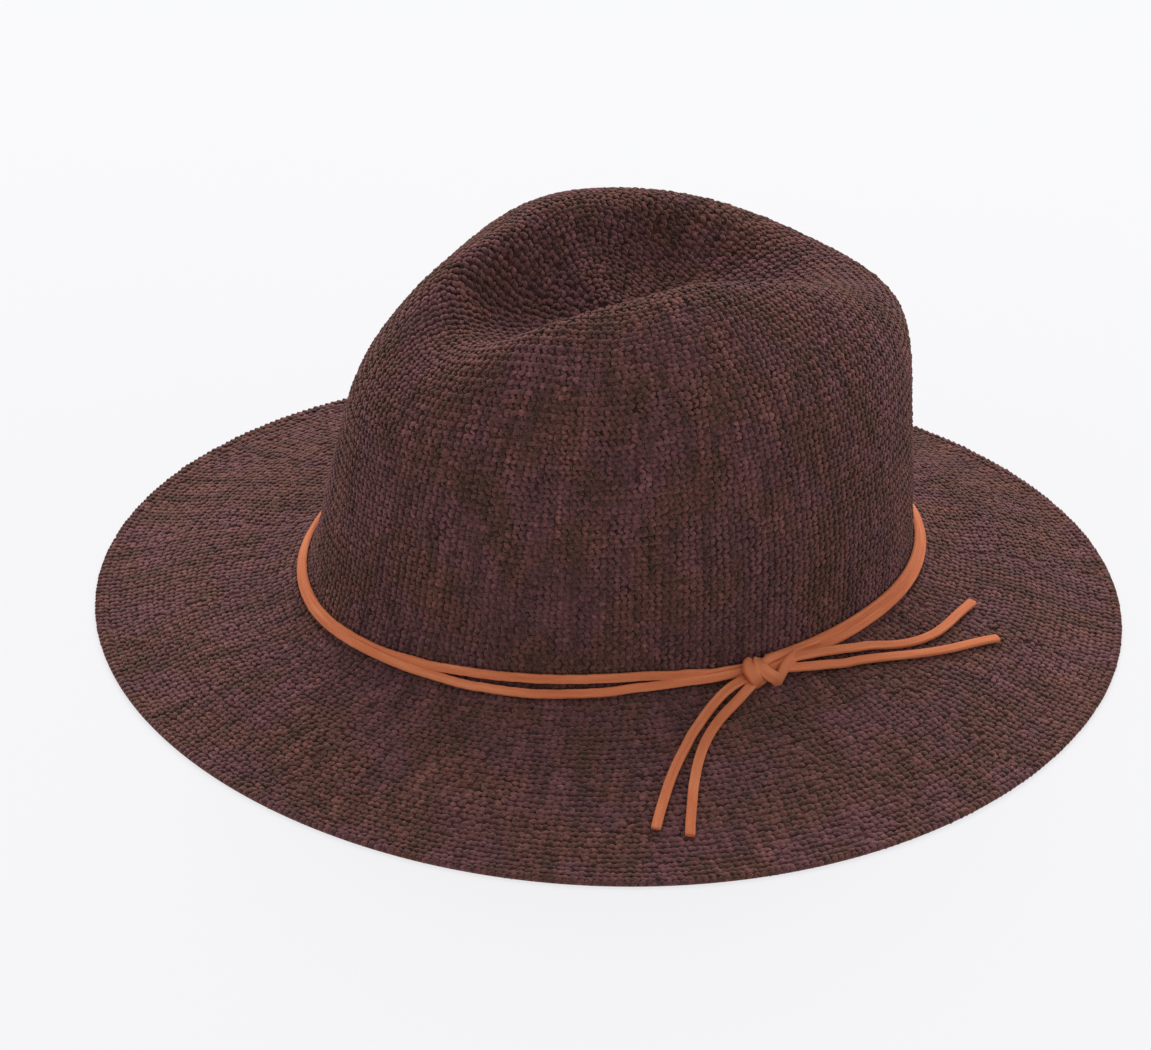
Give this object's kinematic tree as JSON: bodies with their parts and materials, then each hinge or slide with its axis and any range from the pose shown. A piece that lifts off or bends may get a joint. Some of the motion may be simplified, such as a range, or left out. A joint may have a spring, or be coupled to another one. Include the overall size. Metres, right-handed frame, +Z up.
{
  "type": "rancher hat",
  "caption": "Knitted wide-brim hat with a teardrop crease in its crown and a thin leather lace knotted round the crown's foot, its loose ends lying on the brim.",
  "frame": {"origin": "middle of the brim's outline, on the surface that the brim rests on", "axes": "+Z up out of the crown; the front of the hat faces -Y; +X is the wearer's left, where the knot is"},
  "size_m": [0.3289, 0.3303, 0.1316],
  "materials": {
    "knit": "matt heathered brown knit",
    "lace": "matt tan faux suede lace"
  },
  "bodies": {
    "root": {"hat_body": "knit", "band_upper": "lace", "band_lower": "lace", "lace_knot": "lace", "tail_front_a": "lace", "tail_front_b": "lace", "tail_back_a": "lace", "tail_back_b": "lace"}
  },
  "joints": []
}
